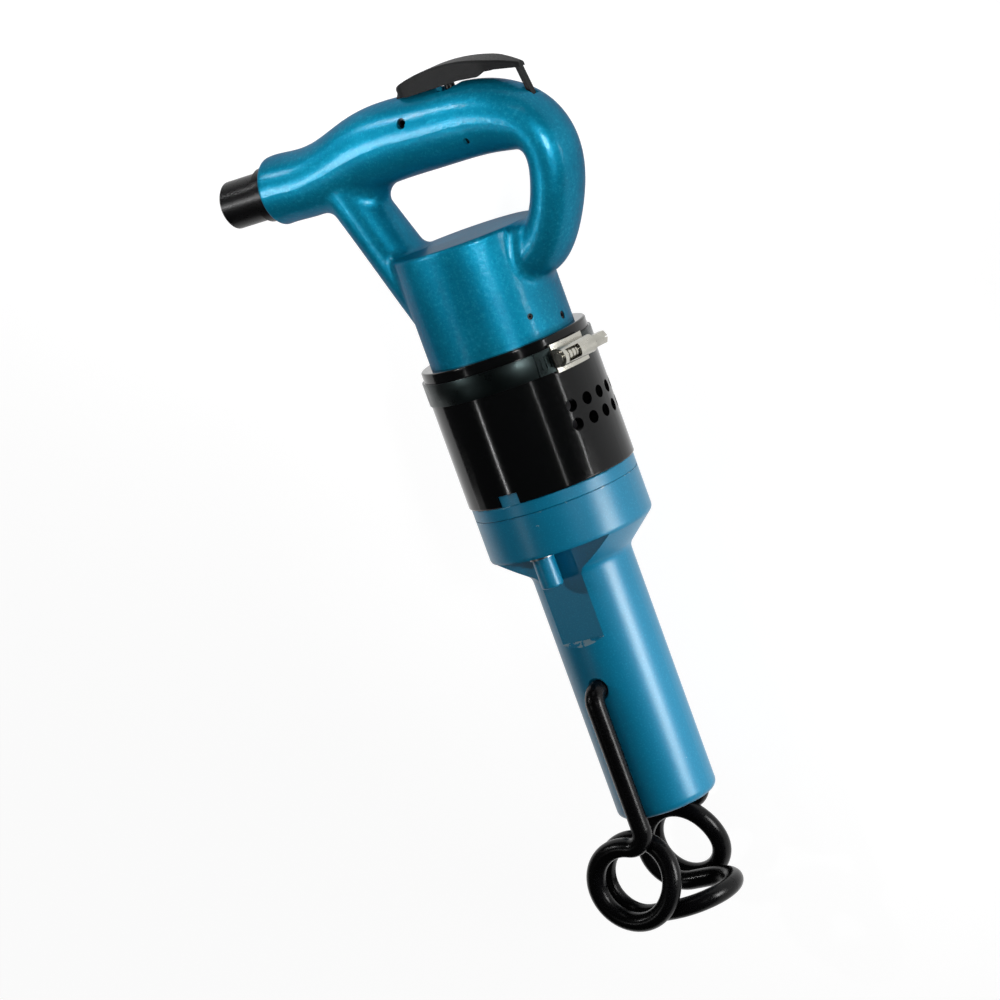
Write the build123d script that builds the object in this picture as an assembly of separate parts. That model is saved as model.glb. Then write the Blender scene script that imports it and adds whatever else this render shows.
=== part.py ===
from build123d import *
import os
from math import atan2, cos, pi, radians, sin, sqrt, tan

# Pneumatic breaker with a loop handle, in millimetres.
# The tool axis is Y: the mouth of the shank bore is at the origin, the handle is towards +Y and the
# air inlet towards -X. The hand loop lies in the XY plane, and +Z is up when the tool lies down.

# Clearances
FIT = 0.03              # radial gap of a located or pressed fit
RUNNING = 0.05          # radial gap of a part that slides or turns
BOLT_ROOM = 0.4         # radial room round a bolt
FACE_GAP = 0.3          # rest gap between faces that push on each other

# Front head: nose, cone and collar
NOSE_RADIUS = 31.8
NOSE_LENGTH = 157.5
NOSE_EDGE = 5.0
CONE_LENGTH = 17.0
CONE_BLEND = 7.0
COLLAR_RADIUS = 51.9
COLLAR_LENGTH = 27.3
COLLAR_EDGE = 4.0
FLAT_HEIGHT = 28.1      # milled flats behind the bolt heads, from the tool axis
FLAT_START = 111.5
FLAT_RUNOUT = 3.0

# Chuck for a round shank
SHANK_BORE_RADIUS = 12.6
CHUCK_LENGTH = 70.0
CHUCK_WALL = 7.4
CHUCK_LEAD = 2.0        # chamfer in front of the bore's mouth
CHUCK_RECESS = 0.5

# Cylinder and piston
PISTON_RADIUS = 17.0
PISTON_LENGTH = 60.0
STEM_RADIUS = 12.0
STEM_REST = 3.0         # from the chuck to the tip of the stem, with the piston forward
STROKE = 70.0
FRONT_CUSHION = 8.0
REAR_CUSHION = 2.0
CYLINDER_WALL = 7.0
CYLINDER_HEAD_RADIUS = 31.0
CYLINDER_HEAD_LENGTH = 23.2    # behind the flange
FLANGE_THICKNESS = 8.0
FLANGE_EDGE = 0.8
EXHAUST_PORT_RADIUS = 4.0
EXHAUST_PORT_COUNT = 6
PISTON_GROOVE_DEPTH = 1.0
PISTON_GROOVE_WIDTH = 3.0

# Valve chest above the cylinder
CHEST_LENGTH = 12.0
COVER_LENGTH = 19.0
VALVE_RADIUS = 18.0
VALVE_THICKNESS = 4.0
VALVE_LIFT = 2.5
VALVE_ROOM = 0.3
AIR_HOLE_RADIUS = 6.0
DOWEL_RADIUS = 2.5
DOWEL_LENGTH = 20.0
DOWEL_CIRCLE = 25.0
GASKET_THICKNESS = 1.0

# Side bolts that clamp front head, cylinder and valve chest to the back head
BOLT_RADIUS = 4.0
BOLT_CIRCLE = 39.0
BOLT_HEAD_RADIUS = 6.8
BOLT_HEAD_LENGTH = 19.0
BOLT_HEAD_EDGE = 1.5
BOLT_SOCKET_RADIUS = 3.5
BOLT_SOCKET_DEPTH = 5.0
BOLT_GRIP = 22.0
WASHER_RADIUS = 8.0
WASHER_THICKNESS = 2.0

# Muffler sleeve and its worm drive clamp
SLEEVE_WALL = 7.4
SLEEVE_GRIP = 33.0
SLEEVE_EDGE = 1.2
LIP_HEIGHT = 6.5
LIP_STEP = 0.7
BAND_WIDTH = 14.3
BAND_THICKNESS = 0.8
BAND_TAIL = 52.0        # overlap of the band, in degrees
EXHAUST_HOLE_RADIUS = 3.9
EXHAUST_ROWS = (32.8, 44.8)    # above the cylinder's flange
EXHAUST_COLUMNS = 5
EXHAUST_ANGLE = 90.0    # middle column, from +Z towards +X
EXHAUST_STEP = 14.0     # degrees between columns
LUG_WIDTH = 13.5
LUG_HEIGHT = 7.0
LUG_DEPTH = 4.0
CLAMP_ANGLE = 74.0      # from +Z towards +X
HOUSING_LENGTH = 27.0
HOUSING_WALL = 1.4
SADDLE_WIDTH = 17.5     # plate of the housing, which wraps the band's edges
SADDLE_WALL = 1.2
WINDOW_LENGTH = 11.0    # opening over the worm
WORM_RADIUS = 3.9
WORM_HEAD_RADIUS = 4.3
WORM_HEAD_LENGTH = 10.0
WORM_NECK_RADIUS = 2.4
WORM_NECK_LENGTH = 1.5
WORM_GROOVE = 0.8
WORM_PITCH = 3.0

# Back head: skirt, hand loop, strut and inlet boss
SKIRT_RADIUS = 45.6
SKIRT_LENGTH = 102.0
SKIRT_EDGE = 2.5
HAND_GAP = 43.0         # from the skirt's top to the grip
HAND_REACH = 62.0       # from the axis to the far leg
GRIP_DEPTH = 48.0
GRIP_WIDTH = 43.0
LEG_DEPTH = 32.5
LEG_WIDTH = 40.0
BOSS_RADIUS = 21.3
BOSS_LENGTH = 33.0
BOSS_EDGE = 2.0
BOSS_DROP = 8.0        # inlet axis below the grip's centre line
INLET_REACH = 116.0
STRUT_DEPTH = 31.5
STRUT_WIDTH = 40.0
STRUT_FLARE = 1.5       # what it gains in depth, and loses in width, towards the boss
STRUT_TAPER = 2.0
STRUT_TOP = -68.5
STRUT_LEAN = 20.3       # degrees from the tool axis
STRUT_FOOT = 66.0       # where it ends inside the skirt, below the skirt's top
LEG_BLEND = 10.0
STRUT_TOP_BLEND = 12.0
STRUT_FOOT_BLEND = 8.0
PASSAGE_RADIUS = 7.0
CORED_RADIUS = 5.0      # cored air way through the far leg
PASSAGE_DROP = 9.5      # air passage below the grip's centre line
PLUG_LENGTH = 8.0
PLUG_RECESS = 0.6
PLUGS = ((60.0, 14.0, 1.9), (93.0, 6.5, 2.5))   # angle from +Z towards +X, height above the sleeve, radius

# Oval sections along the hand loop: X, height, heading in degrees, and what they add in depth and width.
GRIP_STATIONS = (       # from the tool axis and the grip's centre line
    (-48.0, -2.0, 4.0, -0.6, -1.0),
    (-10.0, 0.0, -1.0, 0.0, 0.0),
    (28.0, -1.3, -7.0, -2.0, 0.0),
)
ARCH_STATIONS = (       # from the far leg and the grip's centre line
    (-16.2, -7.9, -24.0, 8.1, 2.0),
    (-1.4, -20.4, -50.0, 0.7, 1.0),
)
LEG_STATIONS = (        # from the far leg and the skirt's top
    (0.0, 25.0, -82.0, 0.3, 0.0),
    (-7.0, 6.0, -108.0, -2.3, 0.0),
    (-18.2, -10.5, -138.0, -1.5, 0.0),
    (-39.8, -23.0, -155.0, -1.5, 0.0),
    (-69.8, -30.0, -175.0, -1.5, 0.0),
)

# Air inlet
SPIGOT_RADIUS = 15.0
SPIGOT_LENGTH = 27.0
SPIGOT_BORE_RADIUS = 9.0
INLET_COLLAR_RADIUS = 17.0
INLET_COLLAR_LENGTH = 7.0
INLET_THREAD_RADIUS = 12.0
INLET_THREAD_LENGTH = 20.0
STRAINER_WALL = 0.8
STRAINER_LENGTH = 16.0
STRAINER_HOLE_RADIUS = 1.4
STRAINER_HOLES = 8
STRAINER_CIRCLE = 0.6   # share of its radius

# Throttle lever, pin and valve
PIVOT_X = -2.0
PIVOT_RISE = 9.5        # above the grip's centre line
PIN_RADIUS = 3.2
PIN_WALL = 1.2
PIN_RECESS = 2.5
HUB_RADIUS = 6.5
TONGUE_WIDTH = 9.0
TONGUE_ROOM = 0.5
LEVER_TRAVEL = 4.5      # degrees
LEVER_WIDTH = 22.0
LEVER_WALL = 3.0
LEVER_EDGE = 2.0
LEVER_ROUND = 0.98      # rounding of its start, as a share of half its width
LEVER_START = -7.5
LEVER_START_RISE = 5.5  # top of the lever above the grip's top, at its start, crest and far end
LEVER_CREST = 30.0
LEVER_CREST_RISE = 10.7
LEVER_END = 79.0
LEVER_END_RISE = -2.3
LEVER_TAPER = 60.0      # where the lever starts to narrow
LEVER_TIP_WIDTH = 6.4
LEVER_UNDER_RISE = -1.25    # lower edge of its sides above the grip's top
LEVER_SKIRT = ((53.0, -2.7), (40.0, -1.25))    # places where the sides follow the arch
TAIL_THICKNESS = 2.5
TAIL_WIDTH = 5.0
TAIL_INSET = 1.0        # how far the tail starts inside the lever's end
TAIL_ROOM = 0.8
TAIL_LENGTH = 27.0
TAIL_LEAN = 2.2
VALVE_X = 27.0
BUSH_RADIUS = 9.0
BUSH_LENGTH = 29.0
BUSH_FLOOR = 3.0
BUSH_GUIDE = 7.0
CHAMBER_RADIUS = 6.6
POPPET_RADIUS = 6.0
POPPET_LENGTH = 6.0
POPPET_STEM_RADIUS = 3.2
SEAL_THICKNESS = 1.6
PORT_RADIUS = 3.0
BUSH_PIN_RADIUS = 2.0
BUSH_PIN_RISE = 9.0
BUSH_PIN_BITE = 1.2
SPRING_WIRE_RADIUS = 0.6
SPRING_RADIUS = 4.2
SPRING_TURNS = 5
SPRING_END_ROOM = 0.3

# Retainer: one bent rod
ROD_RADIUS = 6.0
HOOK_Y = 83.5
HOOK_DEPTH = 11.0
HOOK_BEND = 8.0
HOOK_LEAD = 1.5
ARM_ROOM = 2.2
COIL_RADIUS = 24.5
COIL_X = -20.0
COIL_Y = -38.5
COIL_BEND = 10.0
COIL_STEP = 13.2        # sideways shift of one turn
COIL_SHIFT = ((0.25, 0.125), (0.5, 0.5), (0.75, 0.875), (1.0, 1.0))     # eased shares of it
LOOP_TIP = 20.5

# Stations along the tool axis
NOSE_START = -CHUCK_LEAD - CHUCK_RECESS
CONE_TOP = NOSE_LENGTH + CONE_LENGTH
COLLAR_TOP = CONE_TOP + COLLAR_LENGTH
FLANGE_TOP = COLLAR_TOP + FLANGE_THICKNESS
CYLINDER_TOP = FLANGE_TOP + CYLINDER_HEAD_LENGTH
PISTON_START = CYLINDER_TOP - REAR_CUSHION - STROKE - PISTON_LENGTH
CYLINDER_START = PISTON_START - FRONT_CUSHION
CHEST_TOP = CYLINDER_TOP + CHEST_LENGTH
COVER_TOP = CHEST_TOP + COVER_LENGTH
SKIRT_START = COVER_TOP + GASKET_THICKNESS
SLEEVE_TOP = SKIRT_START + SLEEVE_GRIP
SKIRT_TOP = SKIRT_START + SKIRT_LENGTH
GRIP_Y = SKIRT_TOP + HAND_GAP + GRIP_DEPTH / 2
GRIP_TOP = GRIP_Y + GRIP_DEPTH / 2
INLET_Y = GRIP_Y - BOSS_DROP
PASSAGE_Y = GRIP_Y - PASSAGE_DROP
LEG_X = HAND_REACH + LEG_DEPTH / 2
PIVOT_Y = GRIP_Y + PIVOT_RISE

# Radii that follow from the sizes above
CHUCK_RADIUS = SHANK_BORE_RADIUS + CHUCK_WALL
CYLINDER_RADIUS = PISTON_RADIUS + CYLINDER_WALL
SLEEVE_BORE_RADIUS = SKIRT_RADIUS + FIT
SLEEVE_RADIUS = SLEEVE_BORE_RADIUS + SLEEVE_WALL
BAND_INNER_RADIUS = SLEEVE_RADIUS + FIT
BAND_OUTER_RADIUS = BAND_INNER_RADIUS + BAND_THICKNESS
BAND_TOP = SLEEVE_TOP - LIP_HEIGHT
BAND_MIDDLE = BAND_TOP - BAND_WIDTH / 2


def turned(points, radii=0):
    """A body of revolution about the tool axis, from (radius, station) corners and their rounds."""
    return revolve(make_face(FilletPolyline(*points, radius=radii, close=True)), Axis.Y)


def rod_y(radius, start, end, x=0, z=0):
    """A round bar along the tool axis."""
    bar = Cylinder(radius, end - start, align=(Align.CENTER, Align.CENTER, Align.MIN))
    return Pos(x, start, z) * Rot(-90, 0, 0) * bar


def rod_x(radius, start, end, y, z=0):
    """A round bar along X."""
    bar = Cylinder(radius, end - start, align=(Align.CENTER, Align.CENTER, Align.MIN))
    return Pos(start, y, z) * Rot(0, 90, 0) * bar


def rod_z(radius, half_length, x, y):
    """A round bar across the hand loop, centred on it."""
    return Pos(x, y, 0) * Cylinder(radius, 2 * half_length)


def ring_y(outer, inner, start, end):
    """A flat ring or tube about the tool axis."""
    return rod_y(outer, start, end) - rod_y(inner, start, end)


def both_sides(solid):
    """The solid and its mirror image across the hand loop."""
    return solid, mirror(solid, about=Plane.XY)


def around(solid, angle):
    """Turns a solid made on the +Z side about the tool axis, from +Z towards +X."""
    return Rot(0, angle, 0) * solid


def side_section(points, half_width):
    """A profile given as (station, height) in the YZ plane, extruded to both sides along X."""
    return extrude(Plane.YZ * make_face(Polyline(*points, close=True)), amount=half_width, both=True)


def front_head():
    """Nose, cone and collar in one forging, with flats milled for the bolt heads."""
    corners = [
        (0, NOSE_START),
        (NOSE_RADIUS, NOSE_START),
        (NOSE_RADIUS, NOSE_LENGTH),
        (COLLAR_RADIUS, CONE_TOP),
        (COLLAR_RADIUS, COLLAR_TOP),
        (0, COLLAR_TOP),
    ]
    body = turned(corners, [0, NOSE_EDGE, CONE_BLEND, COLLAR_EDGE, 0, 0])
    clear = COLLAR_RADIUS + NOSE_EDGE
    flat = side_section(
        [
            (FLAT_START, NOSE_RADIUS),
            (FLAT_START + FLAT_RUNOUT, FLAT_HEIGHT),
            (CONE_TOP, FLAT_HEIGHT),
            (CONE_TOP, clear),
            (FLAT_START, clear),
        ],
        clear,
    )
    bolt_hole = rod_y(BOLT_RADIUS + BOLT_ROOM, CONE_TOP, COLLAR_TOP, z=BOLT_CIRCLE)
    hook_hole = Pos(0, HOOK_Y, NOSE_RADIUS - HOOK_DEPTH) * Cylinder(
        ROD_RADIUS + RUNNING, HOOK_DEPTH + ROD_RADIUS, align=(Align.CENTER, Align.CENTER, Align.MIN)
    )
    lead_cone = Pos(0, HOOK_Y, NOSE_RADIUS - HOOK_LEAD) * Cone(
        ROD_RADIUS,
        ROD_RADIUS + 2 * HOOK_LEAD,
        2 * HOOK_LEAD,
        align=(Align.CENTER, Align.CENTER, Align.MIN),
    )
    for cut in (flat, bolt_hole, hook_hole, lead_cone):
        near, far = both_sides(cut)
        body = body - near - far
    body -= rod_y(CHUCK_RADIUS + FIT, NOSE_START, CHUCK_LENGTH)
    body -= rod_y(STEM_RADIUS + RUNNING, CHUCK_LENGTH, CYLINDER_START)
    return body - rod_y(CYLINDER_RADIUS + FIT, CYLINDER_START, COLLAR_TOP)


def chuck_bush():
    """Pressed-in bush with a lead-in, which guides the shank of the working steel."""
    corners = [
        (SHANK_BORE_RADIUS + CHUCK_LEAD, -CHUCK_LEAD),
        (CHUCK_RADIUS, -CHUCK_LEAD),
        (CHUCK_RADIUS, CHUCK_LENGTH),
        (SHANK_BORE_RADIUS, CHUCK_LENGTH),
        (SHANK_BORE_RADIUS, 0),
    ]
    return turned(corners)


def cylinder():
    """Barrel with its flange, exhaust ports and the lug that sets the sleeve's turn."""
    barrel = rod_y(CYLINDER_RADIUS, CYLINDER_START, COLLAR_TOP)
    flange = turned(
        [(0, COLLAR_TOP), (COLLAR_RADIUS, COLLAR_TOP), (COLLAR_RADIUS, FLANGE_TOP), (0, FLANGE_TOP)],
        [0, FLANGE_EDGE, FLANGE_EDGE, 0],
    )
    body = barrel + flange + rod_y(CYLINDER_HEAD_RADIUS, FLANGE_TOP, CYLINDER_TOP)
    lug_ring = ring_y(COLLAR_RADIUS, COLLAR_RADIUS - LUG_DEPTH, FLANGE_TOP, FLANGE_TOP + LUG_HEIGHT)
    lug_box = Pos(0, FLANGE_TOP + LUG_HEIGHT / 2, COLLAR_RADIUS) * Box(
        LUG_WIDTH, LUG_HEIGHT, COLLAR_RADIUS
    )
    body += lug_ring & lug_box
    port_y = (FLANGE_TOP + CYLINDER_TOP) / 2
    for index in range(EXHAUST_PORT_COUNT):
        port = Pos(0, port_y, 0) * Cylinder(
            EXHAUST_PORT_RADIUS,
            CYLINDER_HEAD_RADIUS + EXHAUST_PORT_RADIUS,
            align=(Align.CENTER, Align.CENTER, Align.MIN),
        )
        body -= around(port, (index + 0.5) * 360 / EXHAUST_PORT_COUNT)
    for hole in both_sides(rod_y(BOLT_RADIUS + BOLT_ROOM, COLLAR_TOP, FLANGE_TOP, z=BOLT_CIRCLE)):
        body -= hole
    return body - rod_y(PISTON_RADIUS + RUNNING, CYLINDER_START, CYLINDER_TOP)


def piston():
    """Hammer piston with sealing grooves and the stem that strikes the shank."""
    end = PISTON_START + PISTON_LENGTH
    body = rod_y(PISTON_RADIUS, PISTON_START, end)
    for share in (0.25, 0.5, 0.75):
        middle = PISTON_START + PISTON_LENGTH * share
        body -= ring_y(
            PISTON_RADIUS + RUNNING,
            PISTON_RADIUS - PISTON_GROOVE_DEPTH,
            middle - PISTON_GROOVE_WIDTH / 2,
            middle + PISTON_GROOVE_WIDTH / 2,
        )
    return body + rod_y(STEM_RADIUS, CHUCK_LENGTH + STEM_REST, PISTON_START)


def dowel_positions():
    """The two dowels lie across the tool from the side bolts."""
    return (-DOWEL_CIRCLE, DOWEL_CIRCLE)


def dowel(x, room=0):
    """One dowel through the joint between valve chest and cover, or its hole."""
    return rod_y(DOWEL_RADIUS + room, CHEST_TOP - DOWEL_LENGTH / 2, CHEST_TOP + DOWEL_LENGTH / 2, x=x)


def valve_dowels():
    """Dowels that line up the valve chest and its cover."""
    return [dowel(x) for x in dowel_positions()]


def valve_chest():
    """Lower half of the valve box, with the port to the cylinder."""
    body = ring_y(CYLINDER_HEAD_RADIUS, AIR_HOLE_RADIUS, CYLINDER_TOP, CHEST_TOP)
    for x in dowel_positions():
        body -= dowel(x, FIT)
    return body


def valve_cover():
    """Upper half of the valve box, with the chamber that the valve shifts in."""
    body = ring_y(CYLINDER_HEAD_RADIUS, AIR_HOLE_RADIUS, CHEST_TOP, COVER_TOP)
    body -= rod_y(VALVE_RADIUS + VALVE_ROOM, CHEST_TOP, CHEST_TOP + VALVE_THICKNESS + VALVE_LIFT)
    for x in dowel_positions():
        body -= dowel(x, FIT)
    return body


def distributing_valve():
    """Plate valve that shifts between its two seats and steers the air."""
    plate = rod_y(VALVE_RADIUS, CHEST_TOP, CHEST_TOP + VALVE_THICKNESS)
    hole_circle = (VALVE_RADIUS + AIR_HOLE_RADIUS) / 2
    hole_radius = (VALVE_RADIUS - AIR_HOLE_RADIUS) / 4
    for index in range(EXHAUST_PORT_COUNT):
        hole = rod_y(hole_radius, CHEST_TOP, CHEST_TOP + VALVE_THICKNESS, z=hole_circle)
        plate -= around(hole, index * 360 / EXHAUST_PORT_COUNT)
    return plate


def head_gasket():
    """Flat gasket between the valve cover and the back head."""
    return ring_y(CYLINDER_HEAD_RADIUS, AIR_HOLE_RADIUS, COVER_TOP, SKIRT_START)


def bolt_head_seat():
    """Station of the underside of the washers."""
    return CONE_TOP - WASHER_THICKNESS


def side_bolt():
    """Long bolt with a tall socket head, on the +Z side."""
    seat = bolt_head_seat()
    head_start = seat - BOLT_HEAD_LENGTH
    head = turned(
        [(0, head_start), (BOLT_HEAD_RADIUS, head_start), (BOLT_HEAD_RADIUS, seat), (0, seat)],
        [0, BOLT_HEAD_EDGE, 0, 0],
    )
    socket = Pos(0, head_start, 0) * Rot(-90, 0, 0) * extrude(
        RegularPolygon(BOLT_SOCKET_RADIUS, 6), amount=BOLT_SOCKET_DEPTH
    )
    return Pos(0, 0, BOLT_CIRCLE) * (head - socket + rod_y(BOLT_RADIUS, seat, bolt_end()))


def side_bolt_washer():
    """Hard washer under the bolt head."""
    ring = ring_y(WASHER_RADIUS, BOLT_RADIUS + BOLT_ROOM, bolt_head_seat(), CONE_TOP)
    return Pos(0, 0, BOLT_CIRCLE) * ring


def muffler_sleeve():
    """Black sleeve over the valve chest, with exhaust holes towards +X and a notch for the lug."""
    corners = [
        (SLEEVE_BORE_RADIUS, FLANGE_TOP),
        (SLEEVE_RADIUS, FLANGE_TOP),
        (SLEEVE_RADIUS, BAND_TOP),
        (SLEEVE_RADIUS - LIP_STEP, BAND_TOP),
        (SLEEVE_RADIUS - LIP_STEP, SLEEVE_TOP),
        (SLEEVE_BORE_RADIUS, SLEEVE_TOP),
    ]
    body = turned(corners, [0, SLEEVE_EDGE, 0, 0, SLEEVE_EDGE, 0])
    first = EXHAUST_ANGLE - EXHAUST_STEP * (EXHAUST_COLUMNS - 1) / 2
    for row in EXHAUST_ROWS:
        hole = Pos(0, FLANGE_TOP + row, 0) * Cylinder(
            EXHAUST_HOLE_RADIUS,
            SLEEVE_RADIUS + EXHAUST_HOLE_RADIUS,
            align=(Align.CENTER, Align.CENTER, Align.MIN),
        )
        for column in range(EXHAUST_COLUMNS):
            body -= around(hole, first + column * EXHAUST_STEP)
    notch_height = LUG_HEIGHT + FACE_GAP
    notch = Pos(0, FLANGE_TOP + notch_height / 2, SLEEVE_RADIUS) * Box(
        LUG_WIDTH + 2 * FACE_GAP, notch_height, SLEEVE_RADIUS
    )
    return body - notch


def band_arc(inner, start, sweep):
    """A stretch of the clamp's band, by its start and length in degrees from +Z towards +X."""
    strip = Pos(inner + BAND_THICKNESS / 2, BAND_MIDDLE) * Rectangle(BAND_THICKNESS, BAND_WIDTH)
    quarter = 90    # the strip is drawn on +X
    return around(revolve(strip, Axis.Y, revolution_arc=sweep), start - quarter)


def clamp_band():
    """Steel band once round the sleeve, with its free end lying over the start."""
    full_turn = ring_y(
        BAND_OUTER_RADIUS, BAND_INNER_RADIUS, BAND_MIDDLE - BAND_WIDTH / 2, BAND_MIDDLE + BAND_WIDTH / 2
    )
    return full_turn + band_arc(BAND_OUTER_RADIUS, CLAMP_ANGLE - BAND_TAIL / 2, BAND_TAIL)


def worm_height():
    """Height of the screw's axis above the tool axis, before the clamp is turned to its place."""
    return BAND_OUTER_RADIUS + BAND_THICKNESS + WORM_RADIUS + FACE_GAP


def clamp_housing():
    """Saddle that holds the worm screw against the band."""
    height = worm_height()
    outer = WORM_RADIUS + FACE_GAP + HOUSING_WALL
    half = HOUSING_LENGTH / 2
    seat = BAND_OUTER_RADIUS + BAND_THICKNESS + FIT
    low = BAND_MIDDLE - SADDLE_WIDTH / 2
    high = BAND_MIDDLE + SADDLE_WIDTH / 2
    dome = rod_x(outer, -half, half, BAND_MIDDLE, height)
    base = Pos(0, BAND_MIDDLE, height - outer) * Box(HOUSING_LENGTH, 2 * outer, 2 * outer)
    saddle = rod_y(seat + SADDLE_WALL, low, high)
    saddle &= Pos(0, BAND_MIDDLE, seat) * Box(HOUSING_LENGTH, SADDLE_WIDTH, seat)
    body = dome + base + saddle
    body -= rod_x(WORM_RADIUS + FIT, -HOUSING_LENGTH, HOUSING_LENGTH, BAND_MIDDLE, height)
    window_x = WINDOW_LENGTH / 2 + 2 * HOUSING_WALL - half
    body -= Pos(window_x, BAND_MIDDLE, height + outer) * Box(WINDOW_LENGTH, 2 * WORM_RADIUS, 2 * outer)
    body -= rod_y(SLEEVE_RADIUS + FACE_GAP, low, high)
    grip = BAND_WIDTH / 2 + FIT
    return around(body - rod_y(seat, BAND_MIDDLE - grip, BAND_MIDDLE + grip), CLAMP_ANGLE)


def clamp_screw():
    """Worm screw with a slotted hexagon head at its far end."""
    height = worm_height()
    worm_end = HOUSING_LENGTH / 2 + WORM_NECK_LENGTH
    worm = rod_x(WORM_RADIUS, -worm_end, HOUSING_LENGTH / 2, BAND_MIDDLE, height)
    count = int(HOUSING_LENGTH / WORM_PITCH)
    for index in range(count):
        x = -HOUSING_LENGTH / 2 + (index + 0.5) * HOUSING_LENGTH / count
        groove = rod_x(WORM_RADIUS + FIT, x, x + WORM_GROOVE, BAND_MIDDLE, height)
        worm -= groove - rod_x(WORM_RADIUS - WORM_GROOVE, x, x + WORM_GROOVE, BAND_MIDDLE, height)
    neck = rod_x(WORM_NECK_RADIUS, HOUSING_LENGTH / 2, worm_end, BAND_MIDDLE, height)
    hexagon = extrude(RegularPolygon(WORM_HEAD_RADIUS, 6), amount=WORM_HEAD_LENGTH)
    slot = Pos(0, 0, WORM_HEAD_LENGTH) * Box(3 * WORM_HEAD_RADIUS, WORM_GROOVE, 2 * WORM_NECK_RADIUS)
    head = Pos(worm_end, BAND_MIDDLE, height) * Rot(0, 90, 0) * (hexagon - slot)
    return around(worm + neck + head, CLAMP_ANGLE)


def section(x, y, heading, depth, width):
    """An oval section of the loop, square to a heading in degrees in the XY plane."""
    along = Vector(cos(radians(heading)), sin(radians(heading)), 0)
    across = Vector(-sin(radians(heading)), cos(radians(heading)), 0)
    return Plane(origin=(x, y, 0), x_dir=across, z_dir=along) * Ellipse(depth / 2, width / 2)


def hand_loop():
    """Inlet boss, grip and far leg as one smooth tube of changing oval section."""
    boss = 2 * BOSS_RADIUS
    ovals = [section(x - INLET_REACH, INLET_Y, 0, boss, boss) for x in (0, BOSS_LENGTH / 2, BOSS_LENGTH)]
    runs = (
        (0, GRIP_Y, GRIP_DEPTH, GRIP_WIDTH, GRIP_STATIONS),
        (LEG_X, GRIP_Y, LEG_DEPTH, LEG_WIDTH, ARCH_STATIONS),
        (LEG_X, SKIRT_TOP, LEG_DEPTH, LEG_WIDTH, LEG_STATIONS),
    )
    for from_x, from_y, depth, width, stations in runs:
        for x, y, heading, deeper, wider in stations:
            ovals.append(section(from_x + x, from_y + y, heading, depth + deeper, width + wider))
    tube = loft(ovals)
    return fillet(tube.edges().sort_by(Axis.X)[0], BOSS_EDGE)


def strut():
    """Leaning rib from the inlet boss down to the skirt, which closes the hand loop."""
    heading = STRUT_LEAN - 90
    top = GRIP_Y - GRIP_DEPTH / 4
    foot = SKIRT_TOP - STRUT_FOOT

    def at(y, depth, width):
        return section(STRUT_TOP + (top - y) * tan(radians(STRUT_LEAN)), y, heading, depth, width)

    return loft(
        [
            at(top, STRUT_DEPTH + STRUT_FLARE, STRUT_WIDTH - 2 * STRUT_TAPER),
            at(SKIRT_TOP + HAND_GAP / 2, STRUT_DEPTH, STRUT_WIDTH - STRUT_TAPER),
            at(SKIRT_TOP, STRUT_DEPTH, STRUT_WIDTH),
            at(foot, STRUT_DEPTH, STRUT_WIDTH),
        ]
    )


def casting():
    """The back head's outside, with its blends."""
    skirt = rod_y(SKIRT_RADIUS, SKIRT_START, SKIRT_TOP)
    skirt = fillet(skirt.edges().sort_by(Axis.Y)[-1], SKIRT_EDGE)
    loop = hand_loop()
    joined = skirt + loop
    joined = fillet(new_edges(skirt, loop, combined=joined), LEG_BLEND)
    rib = strut()
    whole = joined + rib
    middle = SKIRT_TOP + HAND_GAP / 2
    seams = new_edges(joined, rib, combined=whole)
    whole = fillet([edge for edge in seams if edge.center().Y < middle], STRUT_FOOT_BLEND)
    seams = new_edges(joined, rib, combined=whole)
    boss_seams = [e for e in seams if e.center().Y > INLET_Y - BOSS_RADIUS and e.center().X < STRUT_TOP / 2]
    return fillet(boss_seams, STRUT_TOP_BLEND)


def air_passage():
    """Cored passage from the throttle bush through the far leg to the valve chest."""
    corners = [
        (VALVE_X, outlet_y()),
        (LEG_X - LEG_DEPTH / 2, outlet_y()),
        (LEG_X, SKIRT_TOP + HAND_GAP / 2),
        (LEG_X - LEG_DEPTH / 3, SKIRT_TOP - LEG_DEPTH / 4),
        (0, SKIRT_TOP - LEG_DEPTH),
        (0, SKIRT_START),
    ]
    path = FilletPolyline(*corners, radius=LEG_DEPTH / 3)
    start = Plane(origin=path @ 0, z_dir=path % 0)
    return sweep(start * Circle(CORED_RADIUS), path)


def slab(points, width):
    """An outline in the plane of the hand loop, as thick as the given width."""
    return extrude(make_face(Polyline(*points, close=True)), amount=width / 2, both=True)


def lever_sway(height):
    """Sideways travel of a point of the lever at a height above its pivot."""
    return height * sin(radians(LEVER_TRAVEL))


def lever_slot():
    """Slot in the grip for the lever's tongue, round at the bottom about the pivot."""
    radius = HUB_RADIUS + TONGUE_ROOM
    width = TONGUE_WIDTH + 2 * TONGUE_ROOM
    mouth = GRIP_TOP + LEVER_CREST_RISE
    far = PIVOT_X + radius + lever_sway(mouth - PIVOT_Y)
    near = PIVOT_X - radius
    shaft = slab([(near, PIVOT_Y), (PIVOT_X + radius, PIVOT_Y), (far, mouth), (near, mouth)], width)
    return shaft + rod_z(radius, width / 2, PIVOT_X, PIVOT_Y)


def tail_end():
    """Lower end of the lever's tail, inside the casting."""
    return LEVER_END + TAIL_LEAN, GRIP_TOP + LEVER_END_RISE - TAIL_LENGTH


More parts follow.
